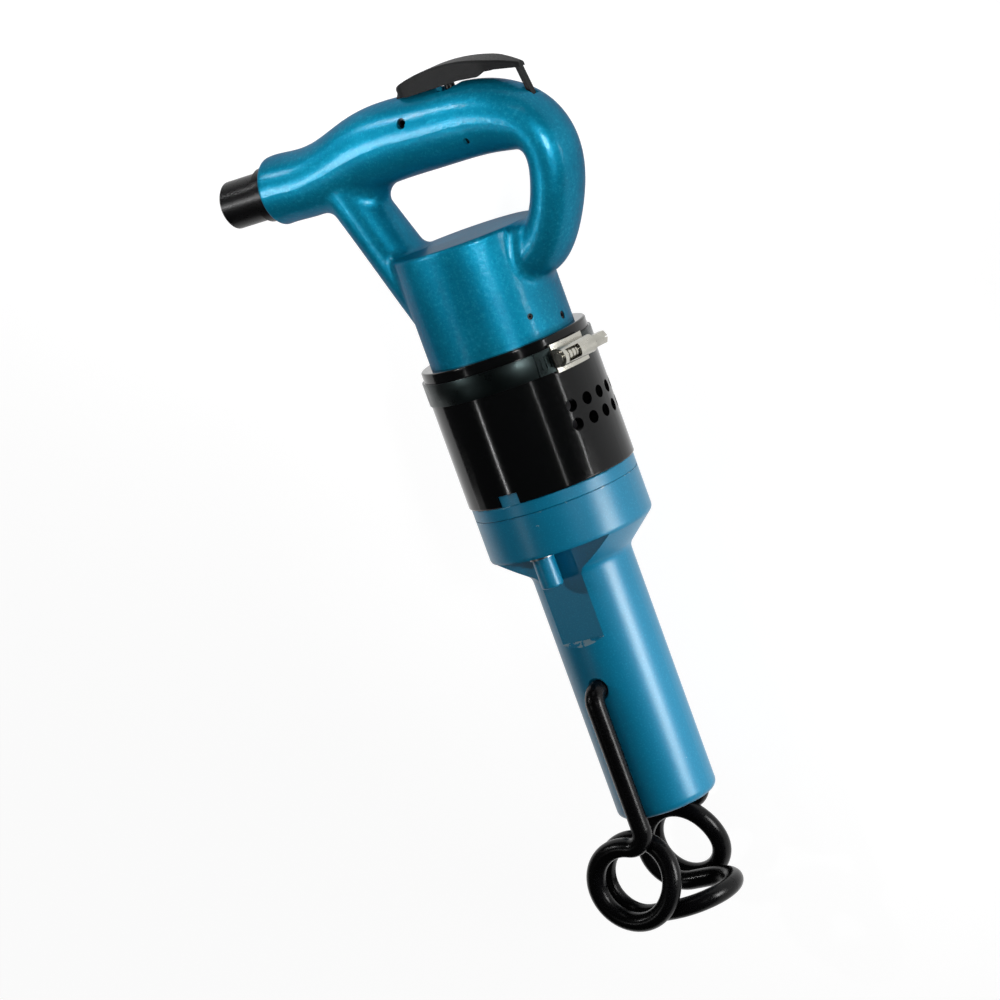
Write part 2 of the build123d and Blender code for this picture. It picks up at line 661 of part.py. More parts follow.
def tail_pocket():
    """Pocket in the arch that the lever's tail dips into."""
    x, y = tail_end()
    near = x - TAIL_THICKNESS - lever_sway(PIVOT_Y - y) - TAIL_ROOM
    far = x + TAIL_ROOM
    floor = y - lever_sway(x - PIVOT_X) - TAIL_ROOM
    mouth = y + TAIL_LENGTH / 2
    near_mouth = LEVER_END - TAIL_INSET - TAIL_THICKNESS
    corners = [(near, floor), (far, floor), (far, mouth), (near_mouth, mouth)]
    return slab(corners, TAIL_WIDTH + 2 * TAIL_ROOM)


def back_head():
    """Handle casting with the bores, slots and pin holes that its fittings need."""
    body = casting()
    thread_end = -INLET_REACH + INLET_THREAD_LENGTH + FACE_GAP
    body -= rod_x(INLET_THREAD_RADIUS + FIT, -INLET_REACH, thread_end, INLET_Y)
    body -= rod_x(PASSAGE_RADIUS, thread_end - PASSAGE_RADIUS, VALVE_X, PASSAGE_Y)
    body -= rod_y(BUSH_RADIUS + FIT, bush_start(), GRIP_TOP + LEVER_CREST_RISE, x=VALVE_X)
    body -= air_passage()
    body -= lever_slot()
    body -= tail_pocket()
    body -= rod_z(PIN_RADIUS + FIT, GRIP_WIDTH, PIVOT_X, PIVOT_Y)
    body -= rod_z(BUSH_PIN_RADIUS + FIT, GRIP_WIDTH, bush_pin_x(), bush_pin_y())
    for hole in both_sides(rod_y(BOLT_RADIUS + FIT, SKIRT_START, bolt_end() + FACE_GAP, z=BOLT_CIRCLE)):
        body -= hole
    for angle, rise, radius in PLUGS:
        body -= around(plug_bar(rise, radius + FIT, SKIRT_RADIUS + PLUG_LENGTH), angle)
    return body


def plug_bar(rise, radius, end):
    """A round bar square to the skirt, from the bottom of a plug's hole out to the given radius."""
    floor = SKIRT_RADIUS - PLUG_RECESS - PLUG_LENGTH
    bar = Cylinder(radius, end - floor, align=(Align.CENTER, Align.CENTER, Align.MIN))
    return Pos(0, SLEEVE_TOP + rise, floor) * bar


def passage_plug(angle, rise, radius):
    """One screwed plug in the skirt, with its hexagon socket."""
    outer = SKIRT_RADIUS - PLUG_RECESS
    socket = extrude(RegularPolygon(radius / 2, 6), amount=PLUG_LENGTH / 2, both=True)
    return around(plug_bar(rise, radius, outer) - Pos(0, SLEEVE_TOP + rise, outer) * socket, angle)


def bolt_end():
    """Station where the side bolts end inside the skirt."""
    return SKIRT_START + BOLT_GRIP


def inlet_bushing():
    """Threaded spigot for the air hose, with the collar that it is tightened by."""
    collar_start = -INLET_REACH - GASKET_THICKNESS - INLET_COLLAR_LENGTH
    end = collar_start - SPIGOT_LENGTH
    profile = [
        (end, SPIGOT_BORE_RADIUS),
        (end, SPIGOT_RADIUS - SLEEVE_EDGE),
        (end + SLEEVE_EDGE, SPIGOT_RADIUS),
        (collar_start, SPIGOT_RADIUS),
        (collar_start, INLET_COLLAR_RADIUS),
        (-INLET_REACH - GASKET_THICKNESS, INLET_COLLAR_RADIUS),
        (-INLET_REACH - GASKET_THICKNESS, INLET_THREAD_RADIUS),
        (-INLET_REACH + INLET_THREAD_LENGTH, INLET_THREAD_RADIUS),
        (-INLET_REACH + INLET_THREAD_LENGTH, SPIGOT_BORE_RADIUS),
    ]
    body = revolve(make_face(Polyline(*profile, close=True)), Axis.X)
    return Pos(0, INLET_Y, 0) * body


def inlet_gasket():
    """Sealing ring between the bushing's collar and the boss."""
    face = -INLET_REACH
    ring = rod_x(INLET_COLLAR_RADIUS, face - GASKET_THICKNESS, face, INLET_Y)
    return ring - rod_x(INLET_THREAD_RADIUS + FIT, face - GASKET_THICKNESS, face, INLET_Y)


def inlet_strainer():
    """Perforated cup in the bushing's bore, which keeps dirt out of the valve."""
    end = -INLET_REACH + INLET_THREAD_LENGTH
    start = end - STRAINER_LENGTH
    outer = SPIGOT_BORE_RADIUS - FIT
    cup = rod_x(outer, start, end, INLET_Y)
    cup -= rod_x(outer - STRAINER_WALL, start, end - STRAINER_WALL, INLET_Y)
    for index in range(STRAINER_HOLES):
        angle = radians(index * 360 / STRAINER_HOLES)
        y = INLET_Y + outer * STRAINER_CIRCLE * cos(angle)
        cup -= rod_x(STRAINER_HOLE_RADIUS, start, end, y, outer * STRAINER_CIRCLE * sin(angle))
    return cup


def pin_half_length(rise, depth, recess):
    """Half the width of the grip's oval at a height from its centre line, less the recess."""
    return GRIP_WIDTH / 2 * sqrt(1 - (2 * rise / depth) ** 2) - recess


def lever_pin():
    """Slit spring pin that the lever turns on."""
    slit = Pos(PIN_RADIUS, 0) * Rectangle(4 * PIN_WALL, PIN_WALL)
    ring = Rot(0, 0, -90) * (Circle(PIN_RADIUS) - Circle(PIN_RADIUS - PIN_WALL) - slit)
    half = pin_half_length(PIVOT_RISE, GRIP_DEPTH, PIN_RECESS)
    return Pos(PIVOT_X, PIVOT_Y, 0) * extrude(ring, amount=half, both=True)


def bush_start():
    """Floor of the throttle bush's bore."""
    return SKIRT_TOP + HAND_GAP + BUSH_FLOOR


def seat_y():
    """Seat of the throttle valve, at the inner end of its guide."""
    return bush_start() + BUSH_LENGTH - BUSH_GUIDE


def outlet_y():
    """Height of the throttle bush's outlet port."""
    return bush_start() + PORT_RADIUS + STRAINER_WALL


def bush_pin_x():
    """The pin bites into the far side of the bush."""
    return VALVE_X + BUSH_RADIUS + BUSH_PIN_RADIUS - BUSH_PIN_BITE


def bush_pin_y():
    """Height of the pin that holds the bush."""
    return bush_start() + BUSH_PIN_RISE


def throttle_bush():
    """Bush with the valve seat, its guide and the air ports."""
    start = bush_start()
    body = rod_y(BUSH_RADIUS, start, start + BUSH_LENGTH, x=VALVE_X)
    body -= rod_y(CHAMBER_RADIUS, start, seat_y(), x=VALVE_X)
    body -= rod_y(POPPET_STEM_RADIUS + RUNNING, seat_y(), start + BUSH_LENGTH, x=VALVE_X)
    body -= rod_x(PORT_RADIUS, VALVE_X - 2 * BUSH_RADIUS, VALVE_X, PASSAGE_Y)
    body -= rod_x(PORT_RADIUS, VALVE_X, VALVE_X + 2 * BUSH_RADIUS, outlet_y())
    return body - rod_z(BUSH_PIN_RADIUS + FIT, GRIP_WIDTH, bush_pin_x(), bush_pin_y())


def bush_pin():
    """Small cross pin that holds the throttle bush."""
    rise = GRIP_Y - bush_pin_y()
    return rod_z(BUSH_PIN_RADIUS, pin_half_length(rise, GRIP_DEPTH, PIN_RECESS), bush_pin_x(), bush_pin_y())


def lever_under(x):
    """Height of the underside of the lever's web above a place on the grip."""
    return lever_top(x) - LEVER_WALL


def throttle_valve():
    """Poppet valve whose stem reaches up to the lever."""
    top = seat_y() - SEAL_THICKNESS
    head = rod_y(POPPET_RADIUS, top - POPPET_LENGTH, top, x=VALVE_X)
    stem = rod_y(POPPET_STEM_RADIUS, top, lever_under(VALVE_X) - FACE_GAP, x=VALVE_X)
    nub_radius = SPRING_RADIUS - SPRING_WIRE_RADIUS - SPRING_END_ROOM
    nub = rod_y(nub_radius, top - POPPET_LENGTH - nub_radius, top - POPPET_LENGTH, x=VALVE_X)
    return head + stem + nub


def throttle_seal():
    """Rubber washer on the poppet, which closes against the seat."""
    start = seat_y() - SEAL_THICKNESS
    ring = rod_y(POPPET_RADIUS, start, seat_y(), x=VALVE_X)
    return ring - rod_y(POPPET_STEM_RADIUS, start, seat_y(), x=VALVE_X)


def throttle_spring():
    """Coil spring that closes the throttle and lifts the lever."""
    start = bush_start() + SPRING_WIRE_RADIUS + SPRING_END_ROOM
    end = seat_y() - SEAL_THICKNESS - POPPET_LENGTH - SPRING_WIRE_RADIUS - SPRING_END_ROOM
    helix = Helix((end - start) / SPRING_TURNS, end - start, SPRING_RADIUS, direction=(0, 1, 0))
    wire = Plane(origin=helix @ 0, z_dir=helix % 0) * Circle(SPRING_WIRE_RADIUS)
    return Pos(VALVE_X, start, 0) * sweep(wire, helix, is_frenet=True)


def lever_arc():
    """Crown line of the lever, through its start, crest and far end."""
    return ThreePointArc(
        (LEVER_START, GRIP_TOP + LEVER_START_RISE),
        (LEVER_CREST, GRIP_TOP + LEVER_CREST_RISE),
        (LEVER_END, GRIP_TOP + LEVER_END_RISE),
    )


def lever_top(x):
    """Height of the lever's crown at a place along the grip."""
    arc = lever_arc()
    centre = arc.arc_center
    return centre.Y + sqrt(arc.radius ** 2 - (x - centre.X) ** 2)


def lever_plan(inset):
    """Outline of the lever from above: round at the start, narrowing towards the tail."""
    half = LEVER_WIDTH / 2 - inset
    tip = LEVER_TIP_WIDTH / 2
    points = [
        (LEVER_START + inset, -half),
        (LEVER_TAPER, -half),
        (LEVER_END, -tip),
        (LEVER_END, tip),
        (LEVER_TAPER, half),
        (LEVER_START + inset, half),
    ]
    rounds = [half * LEVER_ROUND, LEVER_WIDTH, 0, 0, LEVER_WIDTH, half * LEVER_ROUND]
    plan = Plane.XZ * make_face(FilletPolyline(*points, radius=rounds, close=True))
    return Pos(0, GRIP_Y, 0) * extrude(plan, amount=-GRIP_DEPTH)


def throttle_lever():
    """Pressed channel lever with a tongue down to its pin and a tail into the arch."""
    crown = lever_arc()
    under = GRIP_TOP + LEVER_UNDER_RISE
    end = crown @ 1
    lower_edge = Polyline(
        end,
        (LEVER_END, end.Y - LEVER_WALL),
        (LEVER_TAPER, lever_under(LEVER_TAPER) - LEVER_WALL),
        *[(x, GRIP_TOP + rise) for x, rise in LEVER_SKIRT],
        (LEVER_START + LEVER_WIDTH / 2, under),
        (LEVER_START, GRIP_TOP + TONGUE_ROOM),
        crown @ 0,
    )
    side = make_face([crown, lower_edge])
    outside = extrude(side, amount=LEVER_WIDTH / 2, both=True) & lever_plan(0)
    rim = [edge for edge in outside.edges() if abs(edge.center().Y - lever_top(edge.center().X)) < FIT]
    outside = fillet(rim, LEVER_EDGE)
    inside = extrude(Pos(0, -LEVER_WALL) * side, amount=LEVER_WIDTH / 2, both=True)
    channel = outside - (inside & lever_plan(LEVER_WALL))
    pin_hole = rod_z(PIN_RADIUS + RUNNING, LEVER_WIDTH, PIVOT_X, PIVOT_Y)
    return channel + lever_tongue() + lever_tail() - pin_hole


def lever_tongue():
    """Tongue from the lever's web down to its hub."""
    near = PIVOT_X - HUB_RADIUS
    far = PIVOT_X + HUB_RADIUS
    points = [
        (near, PIVOT_Y),
        (far, PIVOT_Y),
        (far, lever_under(far) + LEVER_WALL / 2),
        (LEVER_START + LEVER_EDGE, lever_under(LEVER_START) + LEVER_WALL / 2),
        (near, GRIP_TOP - TONGUE_ROOM),
    ]
    return slab(points, TONGUE_WIDTH) + rod_z(HUB_RADIUS, TONGUE_WIDTH / 2, PIVOT_X, PIVOT_Y)


def lever_tail():
    """Thin tail from the far end of the lever into its pocket."""
    x, y = tail_end()
    start = LEVER_END - TAIL_INSET
    top = GRIP_TOP + LEVER_END_RISE - LEVER_EDGE
    points = [(start, top), (x, y), (x - TAIL_THICKNESS, y), (start - TAIL_THICKNESS, top)]
    return slab(points, TAIL_WIDTH)


def retainer_path():
    """Centre line of one half of the retainer, from its hooked tip to the middle of the loop."""
    arm_z = NOSE_RADIUS + ARM_ROOM + ROD_RADIUS
    reach = COIL_RADIUS + COIL_BEND
    bend_y = COIL_Y + sqrt(reach ** 2 - (COIL_X + COIL_BEND) ** 2)
    start = atan2(bend_y - COIL_Y, -COIL_BEND - COIL_X)

    def coil(angle, z):
        return COIL_X + COIL_RADIUS * cos(angle), COIL_Y + COIL_RADIUS * sin(angle), z

    tip = (0, HOOK_Y, NOSE_RADIUS - HOOK_DEPTH + FACE_GAP)
    path = [Line(tip, (0, HOOK_Y, arm_z - HOOK_BEND))]

    def bend_to(point):
        path.append(TangentArc(path[-1] @ 1, point, tangent=path[-1] % 1))

    def run_to(point):
        path.append(Line(path[-1] @ 1, point))

    bend_to((0, HOOK_Y - HOOK_BEND, arm_z))
    run_to((0, bend_y, arm_z))
    bend_to(coil(start, arm_z))
    bottom = 1.5 * pi
    bend_to(coil((start + bottom) / 2, arm_z))
    bend_to(coil(bottom, arm_z))
    for share, shift in COIL_SHIFT:
        bend_to(coil(bottom + (start + 2 * pi - bottom) * share, arm_z - COIL_STEP * shift))
    inner_z = arm_z - COIL_STEP
    bend_to(coil((start + bottom) / 2 + 2 * pi, inner_z))
    bend_to(coil(bottom + 2 * pi, inner_z))
    run_to((LOOP_TIP - inner_z, COIL_Y - COIL_RADIUS, inner_z))
    bend_to((LOOP_TIP, COIL_Y - COIL_RADIUS, 0))
    return Wire(path)


def retainer_spring():
    """Bent rod that keeps the working steel in the chuck, with a coil on each side."""
    path = retainer_path()
    rod = sweep(Plane(origin=path @ 0, z_dir=path % 0) * Circle(ROD_RADIUS), path)
    near, far = both_sides(rod)
    return near + far


def main():
    os.makedirs("parts", exist_ok=True)
    nodes = {
        "back_head": back_head(),
        "front_head": front_head(),
        "chuck_bush": chuck_bush(),
        "cylinder": cylinder(),
        "piston": piston(),
        "valve_chest": valve_chest(),
        "valve_cover": valve_cover(),
        "valve_dowels": Compound(valve_dowels()),
        "distributing_valve": distributing_valve(),
        "head_gasket": head_gasket(),
        "side_bolts": Compound(both_sides(side_bolt())),
        "side_bolt_washers": Compound(both_sides(side_bolt_washer())),
        "muffler_sleeve": muffler_sleeve(),
        "clamp_band": clamp_band(),
        "clamp_housing": clamp_housing(),
        "clamp_screw": clamp_screw(),
        "passage_plugs": Compound([passage_plug(*plug) for plug in PLUGS]),
        "inlet_bushing": inlet_bushing(),
        "inlet_gasket": inlet_gasket(),
        "inlet_strainer": inlet_strainer(),
        "lever_pin": lever_pin(),
        "bush_pin": bush_pin(),
        "throttle_bush": throttle_bush(),
        "throttle_valve": throttle_valve(),
        "throttle_seal": throttle_seal(),
        "throttle_spring": throttle_spring(),
        "throttle_lever": throttle_lever(),
        "retainer_spring": retainer_spring(),
    }
    for name, solid in nodes.items():
        export_step(solid, f"parts/{name}.step")


if __name__ == "__main__":
    main()
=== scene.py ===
"""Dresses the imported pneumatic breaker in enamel, black, zinc and steel, in a pale studio."""

import math

import bmesh
import bpy
from bpy.props import FloatProperty, FloatVectorProperty, PointerProperty
from bpy.types import Operator, Panel, PropertyGroup
from mathutils import Matrix, Vector


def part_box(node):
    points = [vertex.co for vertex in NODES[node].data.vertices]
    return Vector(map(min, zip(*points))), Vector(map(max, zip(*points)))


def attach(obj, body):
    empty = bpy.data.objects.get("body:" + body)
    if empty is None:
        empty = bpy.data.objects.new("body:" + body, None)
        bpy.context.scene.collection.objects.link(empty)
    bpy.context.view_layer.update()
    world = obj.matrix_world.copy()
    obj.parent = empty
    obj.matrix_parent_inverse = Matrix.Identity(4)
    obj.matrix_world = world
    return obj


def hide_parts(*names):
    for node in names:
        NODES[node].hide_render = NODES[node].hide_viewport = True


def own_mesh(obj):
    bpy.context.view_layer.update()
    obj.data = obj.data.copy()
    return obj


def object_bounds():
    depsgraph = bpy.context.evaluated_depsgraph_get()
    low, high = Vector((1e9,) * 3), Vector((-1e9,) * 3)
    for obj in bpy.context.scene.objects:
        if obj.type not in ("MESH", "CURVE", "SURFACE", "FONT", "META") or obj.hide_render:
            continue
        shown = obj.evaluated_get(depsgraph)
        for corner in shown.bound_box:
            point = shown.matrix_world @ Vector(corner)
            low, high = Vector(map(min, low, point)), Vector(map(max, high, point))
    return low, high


bl_info = {
    "name": "Pneumatic breaker dressing",
    "version": (1, 0, 0),
    "blender": (4, 5, 0),
    "location": "View3D > Sidebar > Breaker",
    "description": "Finishes and small formed details for a loop-handled pneumatic breaker",
    "category": "Object",
}

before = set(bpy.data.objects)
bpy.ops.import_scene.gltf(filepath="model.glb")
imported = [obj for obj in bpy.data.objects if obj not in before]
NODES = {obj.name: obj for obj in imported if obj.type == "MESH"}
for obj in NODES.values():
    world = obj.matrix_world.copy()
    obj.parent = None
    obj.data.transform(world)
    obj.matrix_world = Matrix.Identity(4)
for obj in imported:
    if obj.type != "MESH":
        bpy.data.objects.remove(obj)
CAD_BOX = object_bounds()
MM = 0.001
WHITE = (1, 1, 1, 1)
SHARP_ANGLE = math.radians(35)
HOOP_STEPS = 180
WIRE_SIDES = 12
STEPS_PER_TURN = 40
FLOOR_SIDES = 96
FLOOR_CENTRE_Y = 0.2
SENSOR_WIDTH_MM = 36.0
CLIP_END = 50.0

# Sockets and settings of the Map Range node, and of the Mix node when it mixes colours.
VALUE, LOW, HIGH, TO_LOW, TO_HIGH = range(5)
SMOOTH = {"interpolation_type": "SMOOTHSTEP"}
FACTOR, FIRST, SECOND, MIXED = 0, 6, 7, 2
COLOURS = {"data_type": "RGBA", "out": MIXED}

# Sizes in millimetres of the sloped face at the end of each milled flat of the nose. All over that
# face, y + RUNOUT_SLOPE * |z| is RUNOUT_REACH, which is in metres like FLAT_HEIGHT.
NOSE_RADIUS = 31.8
FLAT_DEPTH = 3.7
RUNOUT_LENGTH = 3.0
RUNOUT_Y = 111.5
FLAT_HEIGHT = (NOSE_RADIUS - FLAT_DEPTH) * MM
RUNOUT_SLOPE = RUNOUT_LENGTH / FLAT_DEPTH
RUNOUT_REACH = (RUNOUT_Y + NOSE_RADIUS * RUNOUT_SLOPE) * MM


def linear(hex_colour):
    """Linear RGB of an sRGB hex colour."""
    shares = [int(hex_colour[i : i + 2], 16) / 255 for i in (1, 3, 5)]
    return tuple(s / 12.92 if s <= 0.04045 else ((s + 0.055) / 1.055) ** 2.4 for s in shares)


def colour(name, hex_colour, description):
    """A colour property whose default is an sRGB hex value."""
    return FloatVectorProperty(
        name=name,
        description=description,
        subtype="COLOR",
        size=3,
        min=0,
        max=1,
        default=linear(hex_colour),
    )


def add(tree, kind, inputs=None, out=0, **settings):
    """Adds one shader node and returns one of its outputs.

    Inputs map a socket to a value or to another node's output.
    """
    made = tree.nodes.new(kind)
    for name, value in settings.items():
        setattr(made, name, value)
    for socket, value in (inputs or {}).items():
        if isinstance(value, bpy.types.NodeSocket):
            tree.links.new(value, made.inputs[socket])
        else:
            made.inputs[socket].default_value = value
    return made.outputs[out] if made.outputs else made


def per_metre(millimetres):
    """Texture scale that gives a pattern of the given size."""
    return 1 / (millimetres * MM)


def rgba(shade, share=1.0):
    """A colour property with full alpha, darkened or lightened by a share."""
    return (*[share * part for part in shade], 1.0)


def new_material(name):
    """An empty node material, with its tree and the Object coordinates."""
    material = bpy.data.materials.new(name)
    material.use_nodes = True
    tree = material.node_tree
    tree.nodes.clear()
    return material, tree, add(tree, "ShaderNodeTexCoord", out="Object")


class BreakerPaint(PropertyGroup):
    cast_blue: colour("Casting", "#0A7C9C", "Hammered enamel on the back head")
    # Painted highlight: lighter enamel on the raised grain, also used for random light flecks.
    cast_highlight_and_fleck: colour("Casting, raised", "#2FA9C8", "Enamel where the grain catches light")
    # Painted shade: darker enamel in the grain's dips, also used for random darker clouds and as a
    # specular tint.
    cast_shade_and_dark_tone: colour("Casting, hollows", "#005470", "Enamel where the grain dips")
    smooth_blue: colour("Front head", "#02779C", "Sprayed enamel on front head, flange and bolts")
    smooth_flake: colour("Front head flake", "#2BA0C4", "Flake in the sprayed enamel")
    # Primer grey also serves as the painted highlight on the run-out faces of the milled flats.
    primer_and_painted_highlight: colour("Primer", "#93ABB3", "Grey that shows where the enamel is chipped")
    sleeve_black: colour("Sleeve", "#08090A", "Moulded gloss black of the muffler sleeve")
    black_steel: colour(
        "Blackened steel", "#060607", "Oiled black of bent rod, spigot, pins and plugs"
    )
    lever_black: colour("Lever", "#090A0B", "Black enamel on the pressed lever")
    # Painted dark reflection: the band's steel is far darker than bare steel, standing in for
    # darker surroundings that it reflects.
    band_steel_painted_dark: colour("Clamp band", "#2A3232", "Rolled steel of the clamp's band")
    zinc: colour("Zinc plate", "#B9B7AE", "Bright zinc of the clamp's housing and screw")
    steel: colour("Bare steel", "#8E8F91", "Ground steel of the working pieces and washers")
    brass: colour("Brass", "#B08D4A", "Turned brass of strainer and throttle bush")
    fibre: colour("Gasket", "#5A4A3A", "Pressed fibre of the gaskets")
    rubber: colour("Rubber", "#1A1A1B", "Rubber of the throttle's seal")


class BreakerView(PropertyGroup):
    yaw: FloatProperty(
        name="Yaw",
        description="Camera's turn about the tool axis",
        subtype="ANGLE",
        default=math.radians(33.518),
    )
    pitch: FloatProperty(
        name="Pitch",
        description="Camera's height towards the handle",
        subtype="ANGLE",
        default=math.radians(8.679),
    )
    roll: FloatProperty(
        name="Roll",
        description="Lean of the tool in the picture",
        subtype="ANGLE",
        default=math.radians(-20.074),
    )
    distance: FloatProperty(
        name="Distance", description="From the camera to the aim point", unit="LENGTH", default=2.5
    )
    lens: FloatProperty(name="Lens", description="Focal length in millimetres", default=147.3)
    aim: FloatVectorProperty(
        name="Aim",
        description="Point at the picture's centre",
        subtype="TRANSLATION",
        default=(-0.0405, 0.2054, 0),
    )


class BreakerStudio(PropertyGroup):
    floor_radius: FloatProperty(
        name="Floor radius", description="Radius of the round floor", unit="LENGTH", default=6.0
    )
    floor: colour("Floor", "#787878", "Matt paper under the tool, before its glow")
    glow: FloatProperty(
        name="Glow", description="Share of white that the floor shows by itself", default=0.94
    )
    ambient: FloatProperty(
        name="Ambient", description="Strength of the even surrounding light", default=0.04
    )
    key: FloatProperty(
        name="Key",
        description="Power for the handle's middle and right lights",
        unit="POWER",
        default=0.75,
    )
    side: FloatProperty(
        name="Side",
        description="Power for the lights on nose and collar",
        unit="POWER",
        default=0.4,
    )
    handle: FloatProperty(
        name="Handle",
        description="Power for the lights on the handle's left",
        unit="POWER",
        default=0.85,
    )
    streak: FloatProperty(
        name="Streaks", description="Power for the narrow lights", unit="POWER", default=0.5
    )
    left: FloatProperty(
        name="Left",
        description="Power for the lights on the tool's left",
        unit="POWER",
        default=1.0,
    )


class BreakerClamp(PropertyGroup):
    slot_pitch: FloatProperty(
        name="Slot pitch",
        description="From one worm slot of the band to the next",
        unit="LENGTH",
        default=3.0 * MM,
    )
    slot_length: FloatProperty(
        name="Slot length",
        description="Length of a worm slot across the band",
        unit="LENGTH",
        default=7.6 * MM,
    )
    edge: FloatProperty(
        name="Edge", description="Rounding of the band's edges", unit="LENGTH", default=0.25 * MM
    )
    tail_start: FloatProperty(
        name="Tail start",
        description="Where the band's free end starts",
        subtype="ANGLE",
        default=math.radians(48),
    )
    tail_sweep: FloatProperty(
        name="Tail sweep",
        description="How far the free end overlaps",
        subtype="ANGLE",
        default=math.radians(52),
    )


class BreakerSpring(PropertyGroup):
    wire: FloatProperty(
        name="Wire", description="Radius of the spring wire", unit="LENGTH", default=0.6 * MM
    )
    turns: FloatProperty(name="Turns", description="Turns of the throttle spring", default=5.0)


def paint():
    """The colours as set in the sidebar."""
    return bpy.context.scene.breaker_paint


def hammered_enamel():
    """Hammer-finish enamel on a casting: speckled teal, dimpled so that highlights break up, with a
    painted highlight on the raised grain and painted shade in its dips.
    """
    shades = paint()
    material, tree, place = new_material("hammered_enamel_on_casting")
    grain = add(
        tree,
        "ShaderNodeTexNoise",
        {"Vector": place, "Scale": per_metre(2.4), "Detail": 3.0, "Roughness": 0.65},
    )
    fleck = add(
        tree, "ShaderNodeTexNoise", {"Vector": place, "Scale": per_metre(1.3), "Detail": 1.0}
    )
    cloud = add(
        tree, "ShaderNodeTexNoise", {"Vector": place, "Scale": per_metre(38), "Detail": 2.0}
    )
    dimple = add(
        tree,
        "ShaderNodeTexVoronoi",
        {"Vector": place, "Scale": per_metre(3.4)},
        feature="SMOOTH_F1",
    )
    # Painted highlight where the grain, which also raises the bump, is high.
    painted_raised_highlight = add(
        tree, "ShaderNodeMapRange", {VALUE: grain, LOW: 0.5, HIGH: 0.74, TO_HIGH: 0.4}, **SMOOTH
    )
    # Painted shade where the same grain dips.
    painted_dip_shade = add(
        tree, "ShaderNodeMapRange", {VALUE: grain, LOW: 0.46, HIGH: 0.26, TO_HIGH: 0.35}, **SMOOTH
    )
    bright = add(
        tree, "ShaderNodeMapRange", {VALUE: fleck, LOW: 0.6, HIGH: 0.74, TO_HIGH: 0.3}, **SMOOTH
    )
    tone = add(
        tree, "ShaderNodeMapRange", {VALUE: cloud, LOW: 0.35, HIGH: 0.7, TO_HIGH: 0.3}, **SMOOTH
    )
    # The light shade carries the painted highlight and the random flecks; the dark shade carries
    # the painted shade and the random clouds.
    light, dark = rgba(shades.cast_highlight_and_fleck), rgba(shades.cast_shade_and_dark_tone)
    shade = rgba(shades.cast_blue)
    for share, tint in ((painted_raised_highlight, light), (painted_dip_shade, dark), (bright, light), (tone, dark)):
        shade = add(tree, "ShaderNodeMix", {FACTOR: share, FIRST: shade, SECOND: tint}, **COLOURS)
    height = add(tree, "ShaderNodeMath", {0: dimple, 1: grain}, operation="ADD")
    skin = add(tree, "ShaderNodeBump", {"Height": height, "Strength": 0.35, "Distance": 0.3 * MM})
    gloss = add(
        tree, "ShaderNodeMapRange", {VALUE: grain, LOW: 0.3, HIGH: 0.7, TO_LOW: 0.4, TO_HIGH: 0.5}
    )
    shader = add(
        tree,
        "ShaderNodeBsdfPrincipled",
        {
            "Base Color": shade,
            "Metallic": 0.6,
            "Roughness": gloss,
            "Specular IOR Level": 0.0,
            "Specular Tint": rgba(shades.cast_shade_and_dark_tone),
            "Normal": skin,
            "Coat Weight": 0.2,
            "Coat Roughness": 0.18,
            "Coat Normal": skin,
        },
    )
    add(tree, "ShaderNodeOutputMaterial", {"Surface": shader})
    return material


